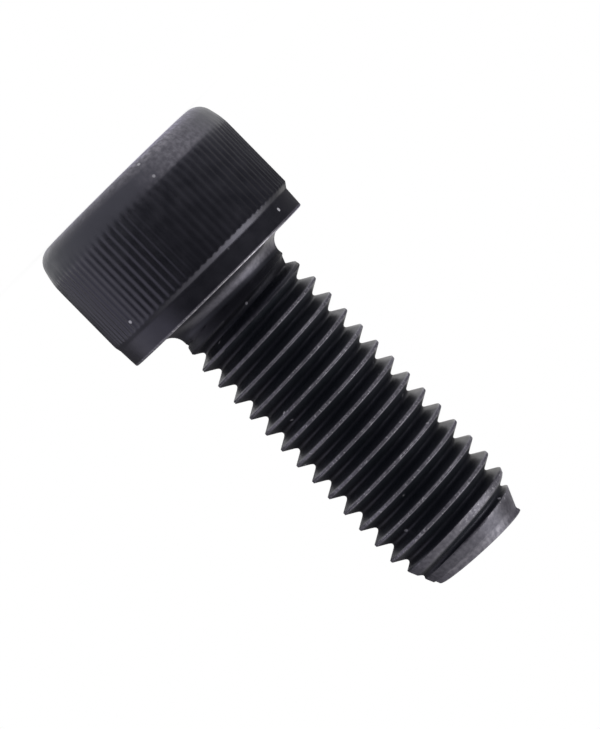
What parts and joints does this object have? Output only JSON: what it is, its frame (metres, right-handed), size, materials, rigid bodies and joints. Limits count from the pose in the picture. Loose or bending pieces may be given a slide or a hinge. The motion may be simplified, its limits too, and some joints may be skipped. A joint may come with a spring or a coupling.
{
  "type": "blade bolt",
  "caption": "Black steel socket head bolt with a straight-knurled cylindrical head, a hexagon socket and a shank threaded up to the head, for clamping a cutting blade.",
  "frame": {"origin": "on the bolt's axis, at the end face of the head, which is the face that the bolt stands on", "axes": "+Z along the axis from the head towards the threaded tip; the hexagon socket has two corners on the X axis"},
  "size_m": [0.016, 0.016, 0.0348],
  "materials": {
    "black_oxide_steel": "black oxide on alloy steel, satin, slightly lighter on thread crests and edges"
  },
  "bodies": {
    "root": {"blade_bolt": "black_oxide_steel"}
  },
  "joints": []
}
